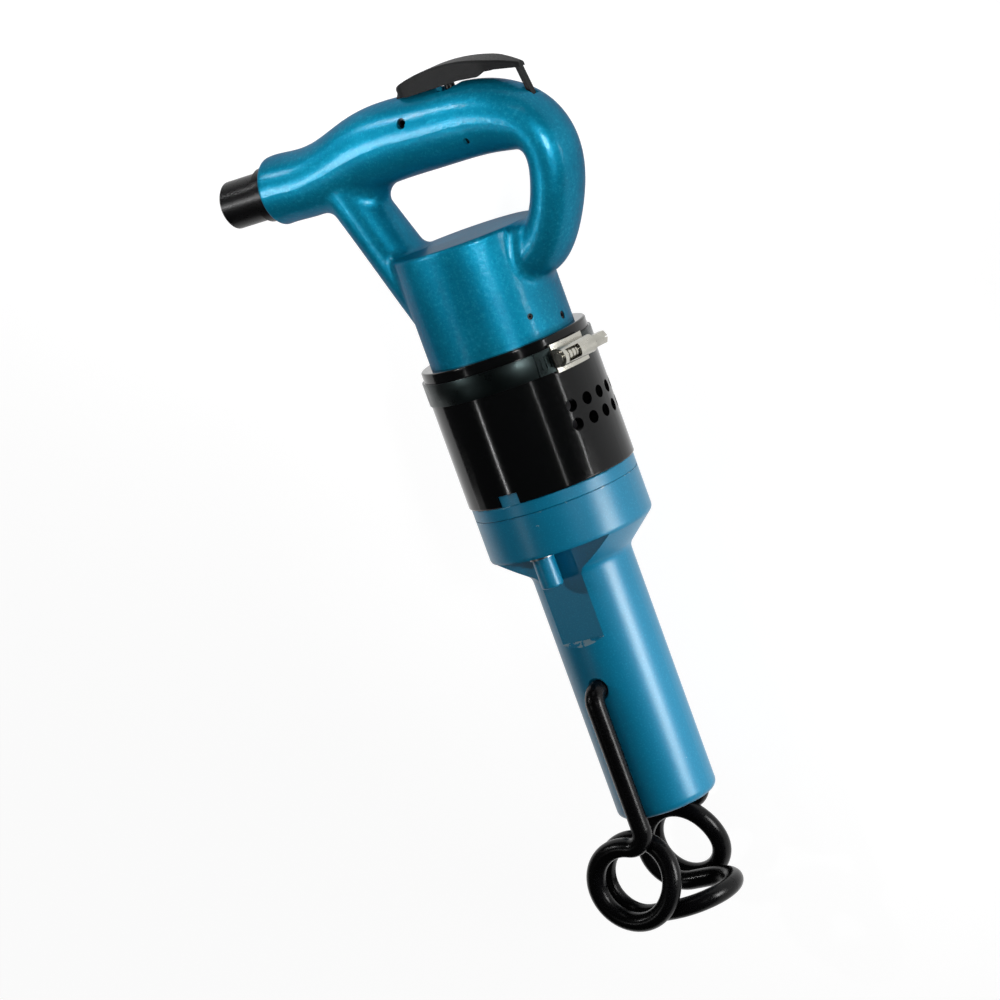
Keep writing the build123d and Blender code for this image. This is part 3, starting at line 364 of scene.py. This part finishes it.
def sprayed_enamel():
    """Metallic enamel sprayed on steel: smooth, fine flake, a broad highlight and a few chips, with
    primer grey painted as a highlight on the run-out faces of the milled flats.
    """
    shades = paint()
    material, tree, place = new_material("sprayed_metallic_enamel")
    flake = add(
        tree, "ShaderNodeTexNoise", {"Vector": place, "Scale": per_metre(1.0), "Detail": 2.0}
    )
    cloud = add(
        tree, "ShaderNodeTexNoise", {"Vector": place, "Scale": per_metre(30), "Detail": 2.0}
    )
    peel = add(tree, "ShaderNodeTexNoise", {"Vector": place, "Scale": per_metre(4), "Detail": 1.0})
    chip = add(
        tree,
        "ShaderNodeTexNoise",
        {"Vector": place, "Scale": per_metre(7), "Detail": 4.0, "Roughness": 0.7},
    )
    axes = add(tree, "ShaderNodeSeparateXYZ", {0: place}).node.outputs
    along = axes["Y"]
    height = add(tree, "ShaderNodeMath", {0: axes["Z"]}, operation="ABSOLUTE")
    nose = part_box("front_head")
    mouth_rim = add(
        tree, "ShaderNodeMath", {0: along, 1: nose[0].y, 2: 1.2 * MM}, operation="COMPARE"
    )
    joint_rim = add(
        tree, "ShaderNodeMath", {0: along, 1: nose[1].y, 2: 0.7 * MM}, operation="COMPARE"
    )
    rims = add(tree, "ShaderNodeMath", {0: mouth_rim, 1: joint_rim}, operation="MAXIMUM")
    chip_and_highlight_share = add(tree, "ShaderNodeMath", {0: rims, 1: 0.12, 2: chip}, operation="MULTIPLY_ADD")
    # Painted highlight: primer grey over the sloped run-out face at the end of each milled flat,
    # standing in for the light it catches.
    painted_runout_highlight = add(
        tree, "ShaderNodeMath", {0: height, 1: RUNOUT_SLOPE, 2: along}, operation="MULTIPLY_ADD"
    )
    painted_runout_highlight = add(
        tree, "ShaderNodeMath", {0: painted_runout_highlight, 1: RUNOUT_REACH, 2: 0.3 * MM}, operation="COMPARE"
    )
    milled = add(tree, "ShaderNodeMath", {0: height, 1: FLAT_HEIGHT}, operation="GREATER_THAN")
    painted_runout_highlight = add(tree, "ShaderNodeMath", {0: painted_runout_highlight, 1: milled}, operation="MULTIPLY")
    chip_and_highlight_share = add(tree, "ShaderNodeMath", {0: painted_runout_highlight, 1: 0.3, 2: chip_and_highlight_share}, operation="MULTIPLY_ADD")
    # Primer grey where the enamel is chipped at the rims, and as the painted highlight on the
    # run-out faces.
    bare = add(tree, "ShaderNodeMapRange", {VALUE: chip_and_highlight_share, LOW: 0.735, HIGH: 0.75, TO_HIGH: 0.8})
    speck = add(
        tree, "ShaderNodeMapRange", {VALUE: flake, LOW: 0.5, HIGH: 0.75, TO_HIGH: 0.35}, **SMOOTH
    )
    blue, flash = rgba(shades.smooth_blue), rgba(shades.smooth_flake)
    shade = add(tree, "ShaderNodeMix", {FACTOR: speck, FIRST: blue, SECOND: flash}, **COLOURS)
    shade = add(
        tree, "ShaderNodeMix", {FACTOR: bare, FIRST: shade, SECOND: rgba(shades.primer_and_painted_highlight)}, **COLOURS
    )
    skin = add(tree, "ShaderNodeBump", {"Height": peel, "Strength": 0.12, "Distance": 0.15 * MM})
    gloss = add(
        tree, "ShaderNodeMapRange", {VALUE: cloud, LOW: 0.3, HIGH: 0.7, TO_LOW: 0.42, TO_HIGH: 0.52}
    )
    shader = add(
        tree,
        "ShaderNodeBsdfPrincipled",
        {
            "Base Color": shade,
            "Metallic": 0.12,
            "Roughness": gloss,
            "Specular IOR Level": 0.0,
            "Specular Tint": rgba(shades.cast_shade_and_dark_tone),
            "Normal": skin,
            "Coat Weight": 0.9,
            "Coat Roughness": 0.32,
        },
    )
    add(tree, "ShaderNodeOutputMaterial", {"Surface": shader})
    return material


def moulded_black():
    """Gloss black moulding: deep black with sharp, slightly wavy reflections and fine rubbing."""
    shades = paint()
    material, tree, place = new_material("moulded_gloss_black")
    wave = add(tree, "ShaderNodeTexNoise", {"Vector": place, "Scale": per_metre(34), "Detail": 1.0})
    rub = add(tree, "ShaderNodeTexNoise", {"Vector": place, "Scale": per_metre(2.2), "Detail": 3.0})
    skin = add(tree, "ShaderNodeBump", {"Height": wave, "Strength": 0.4, "Distance": 0.8 * MM})
    gloss = add(
        tree, "ShaderNodeMapRange", {VALUE: rub, LOW: 0.35, HIGH: 0.75, TO_LOW: 0.1, TO_HIGH: 0.16}
    )
    dust = add(tree, "ShaderNodeMapRange", {VALUE: rub, LOW: 0.6, HIGH: 0.8, TO_HIGH: 0.5})
    deep = rgba(shades.sleeve_black)
    shade = add(
        tree,
        "ShaderNodeMix",
        {FACTOR: dust, FIRST: deep, SECOND: rgba(shades.sleeve_black, 3)},
        **COLOURS,
    )
    shader = add(
        tree,
        "ShaderNodeBsdfPrincipled",
        {"Base Color": shade, "Roughness": gloss, "Specular IOR Level": 0.22, "Normal": skin},
    )
    add(tree, "ShaderNodeOutputMaterial", {"Surface": shader})
    return material


def blackened(name, shade, grain_mm, low, high):
    """Oiled black finish on steel: satin, mottled where it was handled."""
    material, tree, place = new_material(name)
    grain = add(
        tree, "ShaderNodeTexNoise", {"Vector": place, "Scale": per_metre(grain_mm), "Detail": 3.0}
    )
    cloud = add(
        tree, "ShaderNodeTexNoise", {"Vector": place, "Scale": per_metre(14), "Detail": 2.0}
    )
    worn = add(
        tree, "ShaderNodeMapRange", {VALUE: cloud, LOW: 0.45, HIGH: 0.75, TO_HIGH: 0.5}, **SMOOTH
    )
    base = add(
        tree,
        "ShaderNodeMix",
        {FACTOR: worn, FIRST: rgba(shade), SECOND: rgba(shade, 2.2)},
        **COLOURS,
    )
    skin = add(tree, "ShaderNodeBump", {"Height": grain, "Strength": 0.2, "Distance": 0.12 * MM})
    gloss = add(
        tree, "ShaderNodeMapRange", {VALUE: grain, LOW: 0.3, HIGH: 0.7, TO_LOW: low, TO_HIGH: high}
    )
    shader = add(
        tree,
        "ShaderNodeBsdfPrincipled",
        {"Base Color": base, "Roughness": gloss, "Specular IOR Level": 0.18, "Normal": skin},
    )
    add(tree, "ShaderNodeOutputMaterial", {"Surface": shader})
    return material


def plated(name, shade, spangle_mm, low, high):
    """Bare or plated metal: mottled brightness with fine rubbing."""
    material, tree, place = new_material(name)
    cloud = add(
        tree, "ShaderNodeTexNoise", {"Vector": place, "Scale": per_metre(spangle_mm), "Detail": 3.0}
    )
    rub = add(tree, "ShaderNodeTexNoise", {"Vector": place, "Scale": per_metre(1.0), "Detail": 2.0})
    dull = add(
        tree, "ShaderNodeMapRange", {VALUE: cloud, LOW: 0.4, HIGH: 0.7, TO_HIGH: 0.45}, **SMOOTH
    )
    base = add(
        tree,
        "ShaderNodeMix",
        {FACTOR: dull, FIRST: rgba(shade), SECOND: rgba(shade, 0.6)},
        **COLOURS,
    )
    skin = add(tree, "ShaderNodeBump", {"Height": rub, "Strength": 0.12, "Distance": 0.05 * MM})
    gloss = add(
        tree, "ShaderNodeMapRange", {VALUE: cloud, LOW: 0.3, HIGH: 0.7, TO_LOW: low, TO_HIGH: high}
    )
    shader = add(
        tree,
        "ShaderNodeBsdfPrincipled",
        {"Base Color": base, "Metallic": 1.0, "Roughness": gloss, "Normal": skin},
    )
    add(tree, "ShaderNodeOutputMaterial", {"Surface": shader})
    return material


def soft_sheet(name, shade, roughness):
    """Fibre or rubber of the seals: matt, with a fine fleck."""
    material, tree, place = new_material(name)
    fleck = add(
        tree, "ShaderNodeTexNoise", {"Vector": place, "Scale": per_metre(0.8), "Detail": 3.0}
    )
    base = add(
        tree,
        "ShaderNodeMix",
        {FACTOR: fleck, FIRST: rgba(shade), SECOND: rgba(shade, 0.55)},
        **COLOURS,
    )
    shader = add(tree, "ShaderNodeBsdfPrincipled", {"Base Color": base, "Roughness": roughness})
    add(tree, "ShaderNodeOutputMaterial", {"Surface": shader})
    return material


def dress(material, *nodes):
    """Gives CAD nodes a material."""
    for name in nodes:
        slots = NODES[name].data.materials
        slots.clear()
        slots.append(material)


def new_piece(name, shape, body, material):
    """A piece of the scene's own from a finished bmesh, which rides on a body."""
    mesh = bpy.data.meshes.new(name)
    bmesh.ops.recalc_face_normals(shape, faces=shape.faces)
    for face in shape.faces:
        face.smooth = True
    shape.to_mesh(mesh)
    shape.free()
    mesh.set_sharp_from_angle(angle=SHARP_ANGLE)
    mesh.materials.append(material)
    piece = bpy.data.objects.new(name, mesh)
    bpy.context.scene.collection.objects.link(piece)
    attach(piece, body)
    return piece


class BREAKER_OT_castings(Operator):
    """Paints the back head, front head, cylinder flange and bolt heads"""

    bl_idname = "breaker.castings"
    bl_label = "Paint castings"

    def execute(self, context):
        dress(hammered_enamel(), "back_head")
        dress(sprayed_enamel(), "front_head", "cylinder", "side_bolts")
        return {"FINISHED"}


class BREAKER_OT_blacks(Operator):
    """Finishes the sleeve, rod, spigot, lever, pins, plugs and throttle valve in black"""

    bl_idname = "breaker.blacks"
    bl_label = "Black pieces"

    def execute(self, context):
        shades = paint()
        dress(moulded_black(), "muffler_sleeve")
        dress(
            blackened("blackened_spring_steel", shades.black_steel, 1.4, 0.2, 0.32),
            "retainer_spring",
        )
        spigot = blackened("blackened_spigot", shades.black_steel, 1.0, 0.25, 0.4)
        dress(spigot, "inlet_bushing", "lever_pin", "bush_pin", "passage_plugs", "throttle_valve")
        dress(blackened("enamelled_lever", shades.lever_black, 1.2, 0.5, 0.64), "throttle_lever")
        return {"FINISHED"}


def band_ring(shape, low, high, thickness, edge):
    """Full turn of the clamp's band with rounded edges, from its box."""
    outer = -low.x
    inner = outer - thickness
    corners = [(inner, low.y), (outer, low.y), (outer, high.y), (inner, high.y)]
    rim = [shape.verts.new((0, y, radius)) for radius, y in corners]
    lines = [shape.edges.new((rim[i - 1], rim[i])) for i in range(4)]
    bmesh.ops.spin(
        shape,
        geom=rim + lines,
        cent=(0, 0, 0),
        axis=(0, 1, 0),
        angle=2 * math.pi,
        steps=HOOP_STEPS,
        use_merge=True,
    )
    hoops = [e for e in shape.edges if abs(e.verts[0].co.y - e.verts[1].co.y) < edge / 2]
    hoops = [e for e in hoops if abs(e.verts[0].co.xz.length - e.verts[1].co.xz.length) < edge / 2]
    bmesh.ops.bevel(
        shape, geom=hoops, offset=edge, segments=2, profile=0.5, affect="EDGES", material=-1
    )


def band_tail(shape, low, high, thickness, clamp):
    """Free end of the band over its start, punched with worm slots."""
    outer, middle = -low.x, (low.y + high.y) / 2
    half = clamp.slot_length / 2
    chain = [shape.verts.new((0, y, outer)) for y in (low.y, middle - half, middle + half, high.y)]
    lines = [shape.edges.new(pair) for pair in zip(chain, chain[1:])]
    turn = Matrix.Rotation(clamp.tail_start, 3, "Y")
    bmesh.ops.rotate(shape, verts=chain, cent=(0, 0, 0), matrix=turn)
    cells = 2 * round(clamp.tail_sweep * outer / clamp.slot_pitch)
    bmesh.ops.spin(
        shape,
        geom=chain + lines,
        cent=(0, 0, 0),
        axis=(0, 1, 0),
        angle=clamp.tail_sweep,
        steps=cells,
    )
    cell = clamp.tail_sweep / cells

    def punched(face):
        """Whether a face of the strip is one of its worm slots."""
        centre = face.calc_center_median()
        index = int((math.atan2(centre.x, centre.z) - clamp.tail_start) / cell)
        return abs(centre.y - middle) < half and index % 2 == 1

    bmesh.ops.recalc_face_normals(shape, faces=shape.faces)
    bmesh.ops.delete(shape, geom=[face for face in shape.faces if punched(face)], context="FACES")
    bmesh.ops.solidify(shape, geom=shape.faces[:], thickness=-thickness)


class BREAKER_OT_clamp(Operator):
    """Replaces the clamp's plain band by one with rounded edges and punched worm slots"""

    bl_idname = "breaker.clamp"
    bl_label = "Clamp band"

    def execute(self, context):
        clamp = context.scene.breaker_clamp
        low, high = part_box("clamp_band")
        thickness = high.x + low.x
        steel = plated("rolled_band_steel", paint().band_steel_painted_dark, 11, 0.24, 0.4)
        ring = bmesh.new()
        band_ring(ring, low, high, thickness, clamp.edge)
        hoop = new_piece("band_hoop", ring, "tool", steel)
        free_end = bmesh.new()
        band_tail(free_end, low, high, thickness, clamp)
        tail = new_piece("band_tail", free_end, "tool", steel)
        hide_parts("clamp_band")
        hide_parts("clamp_band")
        return {"FINISHED"}


class BREAKER_OT_spring(Operator):
    """Replaces the throttle's spring by a coil of round wire in its place"""

    bl_idname = "breaker.spring"
    bl_label = "Throttle spring"

    def execute(self, context):
        spring = context.scene.breaker_spring
        low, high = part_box("throttle_spring")
        middle = (low + high) / 2
        radius = (high.x - low.x) / 2 - spring.wire
        steps = round(STEPS_PER_TURN * spring.turns)
        rise = (high.y - low.y - 2 * spring.wire) / steps
        shape = bmesh.new()
        bmesh.ops.create_circle(shape, cap_ends=True, segments=WIRE_SIDES, radius=spring.wire)
        bmesh.ops.translate(
            shape, verts=shape.verts, vec=(middle.x + radius, low.y + spring.wire, 0)
        )
        bmesh.ops.spin(
            shape,
            geom=shape.verts[:] + shape.edges[:] + shape.faces[:],
            cent=(middle.x, 0, 0),
            axis=(0, 1, 0),
            dvec=(0, rise, 0),
            angle=2 * math.pi * spring.turns,
            steps=steps,
        )
        steel = plated("spring_wire", paint().steel, 6, 0.25, 0.4)
        coil = new_piece("throttle_coil", shape, "tool", steel)
        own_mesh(coil)
        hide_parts("throttle_spring")
        return {"FINISHED"}


class BREAKER_OT_metals(Operator):
    """Finishes the clamp in zinc, the working pieces in bare metal, and the seals"""

    bl_idname = "breaker.metals"
    bl_label = "Bare and plated metal"

    def execute(self, context):
        shades = paint()
        dress(
            plated("zinc_plated_clamp", shades.zinc, 9, 0.2, 0.34), "clamp_housing", "clamp_screw"
        )
        dress(
            plated("ground_steel", shades.steel, 12, 0.25, 0.4),
            "chuck_bush",
            "piston",
            "valve_chest",
            "valve_cover",
            "valve_dowels",
            "distributing_valve",
            "side_bolt_washers",
        )
        dress(
            plated("turned_brass", shades.brass, 10, 0.25, 0.4), "throttle_bush", "inlet_strainer"
        )
        dress(soft_sheet("gasket_fibre", shades.fibre, 0.9), "head_gasket", "inlet_gasket")
        dress(soft_sheet("seal_rubber", shades.rubber, 0.7), "throttle_seal")
        return {"FINISHED"}


def camera_axes(view):
    """Right, up and back directions of the camera."""
    flat = math.cos(view.pitch)
    back = Vector((math.sin(view.yaw) * flat, math.sin(view.pitch), math.cos(view.yaw) * flat))
    level = Vector((math.cos(view.yaw), 0, -math.sin(view.yaw)))
    upright = back.cross(level)
    right = math.cos(view.roll) * level + math.sin(view.roll) * upright
    return right, back.cross(right), back


def place_camera(view):
    """Camera at the photograph's viewing angle."""
    right, up, back = camera_axes(view)
    camera = bpy.data.cameras.new("photo_camera")
    camera.lens = view.lens
    camera.sensor_width = SENSOR_WIDTH_MM
    camera.clip_end = CLIP_END
    holder = bpy.data.objects.new("photo_camera", camera)
    turn = Matrix((right, up, back)).transposed().to_4x4()
    holder.matrix_world = Matrix.Translation(Vector(view.aim) + view.distance * back) @ turn
    bpy.context.scene.collection.objects.link(holder)
    bpy.context.scene.camera = holder


def paper_floor(studio):
    """Round matt floor under the tool: white to the eye and in reflections, with a shadow."""
    mesh = bpy.data.meshes.new("paper_floor")
    shape = bmesh.new()
    bmesh.ops.create_circle(shape, cap_ends=True, segments=FLOOR_SIDES, radius=studio.floor_radius)
    bmesh.ops.translate(shape, verts=shape.verts, vec=(0, FLOOR_CENTRE_Y, CAD_BOX[0].z))
    shape.to_mesh(mesh)
    shape.free()
    floor = bpy.data.objects.new("paper_floor", mesh)
    bpy.context.scene.collection.objects.link(floor)
    material, tree, _ = new_material("matt_white_paper")
    rays = add(tree, "ShaderNodeLightPath").node.outputs
    seen = add(
        tree,
        "ShaderNodeMath",
        {0: rays["Is Camera Ray"], 1: rays["Is Glossy Ray"]},
        operation="MAXIMUM",
    )
    seen = add(
        tree, "ShaderNodeMath", {0: seen, 1: rays["Is Transmission Ray"]}, operation="MAXIMUM"
    )
    glow = add(tree, "ShaderNodeMath", {0: seen, 1: studio.glow}, operation="MULTIPLY")
    lit = add(tree, "ShaderNodeEmission", {"Color": WHITE, "Strength": glow})
    matt = add(tree, "ShaderNodeBsdfDiffuse", {"Color": rgba(studio.floor)})
    both = add(tree, "ShaderNodeAddShader", {0: lit, 1: matt})
    add(tree, "ShaderNodeOutputMaterial", {"Surface": both})
    mesh.materials.append(material)


def area_light(name, power, place, size, aim_y, spread=180):
    """Soft light that faces the point at aim_y on the tool axis.

    Its place is a turn from +Z towards +X and a lift towards the handle, both in degrees, and a
    distance. Its size is a width and a length, and its spread is in degrees.
    """
    turn, lift, distance = math.radians(place[0]), math.radians(place[1]), place[2]
    lamp = bpy.data.lights.new(name, "AREA")
    lamp.shape = "RECTANGLE"
    lamp.size, lamp.size_y = size
    lamp.energy = power
    lamp.spread = math.radians(spread)
    holder = bpy.data.objects.new(name, lamp)
    flat = math.cos(lift)
    back = Vector((math.sin(turn) * flat, math.sin(lift), math.cos(turn) * flat))
    side = Vector((0, 1, 0)).cross(back).normalized()
    facing = Matrix((side, back.cross(side), back)).transposed().to_4x4()
    holder.matrix_world = Matrix.Translation(Vector((0, aim_y, 0)) + distance * back) @ facing
    holder.visible_camera = False
    bpy.context.scene.collection.objects.link(holder)


class BREAKER_OT_stage(Operator):
    """Sets up the camera, the pale floor and the studio light"""

    bl_idname = "breaker.stage"
    bl_label = "Studio"

    def execute(self, context):
        studio = context.scene.breaker_studio
        place_camera(context.scene.breaker_view)
        paper_floor(studio)
        side, key, handle = studio.side, studio.key, studio.handle
        left, streak = studio.left, studio.streak
        area_light("nose_right", 1.1 * side, (87, 0, 0.5), (0.17, 0.24), aim_y=0, spread=75)
        area_light("collar_right", 0.3 * side, (87, 0, 0.5), (0.17, 0.04), aim_y=0.1, spread=75)
        area_light("handle_left", 0.78 * handle, (-36, 0, 1.3), (0.5, 0.24), aim_y=0.62, spread=30)
        area_light("grip_line", 0.15 * handle, (-45, 45, 1.4), (0.5, 0.02), aim_y=0.44, spread=18)
        area_light("handle_middle", 0.62 * key, (46, 0, 1.4), (0.15, 0.3), aim_y=0.52, spread=30)
        area_light("handle_right", 0.1 * key, (86, 0, 1.2), (0.05, 0.2), aim_y=0.3, spread=40)
        area_light("far_left", 0.6 * left, (-86, -15, 1.5), (0.6, 0.6), aim_y=0.1)
        area_light("left_small", 0.07 * left, (-41, 28, 1.5), (0.05, 0.05), aim_y=0.13, spread=20)
        area_light("streak_left", streak, (-27.9, 0, 1.4), (0.016, 0.12), aim_y=0.04)
        area_light("streak_middle", 0.6 * streak, (49.5, 0, 1.4), (0.012, 0.3), aim_y=0.12)
        area_light("streak_right", 1.4 * streak, (86, 0, 1.4), (0.016, 0.3), aim_y=0.12)
        area_light("handle_top", 1.4 * streak, (33, 53, 1.4), (0.6, 0.012), aim_y=0.42)
        world = bpy.data.worlds.new("even_grey")
        world.use_nodes = True
        shade = world.node_tree.nodes["Background"]
        shade.inputs["Color"].default_value = WHITE
        shade.inputs["Strength"].default_value = studio.ambient
        context.scene.world = world
        context.scene.view_settings.view_transform = "Standard"
        return {"FINISHED"}


class BREAKER_PT_panel(Panel):
    """Lists the steps that dress the breaker"""

    bl_idname = "BREAKER_PT_panel"
    bl_label = "Breaker"
    bl_space_type = "VIEW_3D"
    bl_region_type = "UI"
    bl_category = "Breaker"

    def draw(self, context):
        for group in GROUPS:
            box = self.layout.box()
            settings = getattr(context.scene, group)
            for name in settings.__annotations__:
                box.prop(settings, name)
        for operator in OPERATORS:
            self.layout.operator(operator.bl_idname)


OPERATORS = (
    BREAKER_OT_stage,
    BREAKER_OT_castings,
    BREAKER_OT_blacks,
    BREAKER_OT_clamp,
    BREAKER_OT_spring,
    BREAKER_OT_metals,
)
GROUPS = {
    "breaker_paint": BreakerPaint,
    "breaker_view": BreakerView,
    "breaker_studio": BreakerStudio,
    "breaker_clamp": BreakerClamp,
    "breaker_spring": BreakerSpring,
}


def register():
    for group in GROUPS.values():
        bpy.utils.register_class(group)
    for shown in (*OPERATORS, BREAKER_PT_panel):
        bpy.utils.register_class(shown)
    for name, group in GROUPS.items():
        setattr(bpy.types.Scene, name, PointerProperty(type=group))


def unregister():
    for name in GROUPS:
        delattr(bpy.types.Scene, name)
    for shown in (BREAKER_PT_panel, *OPERATORS, *GROUPS.values()):
        bpy.utils.unregister_class(shown)


def main():
    """Runs every step."""
    register()
    for operator in OPERATORS:
        group, step = operator.bl_idname.split(".")
        getattr(getattr(bpy.ops, group), step)()


if __name__ == "__main__":
    main()
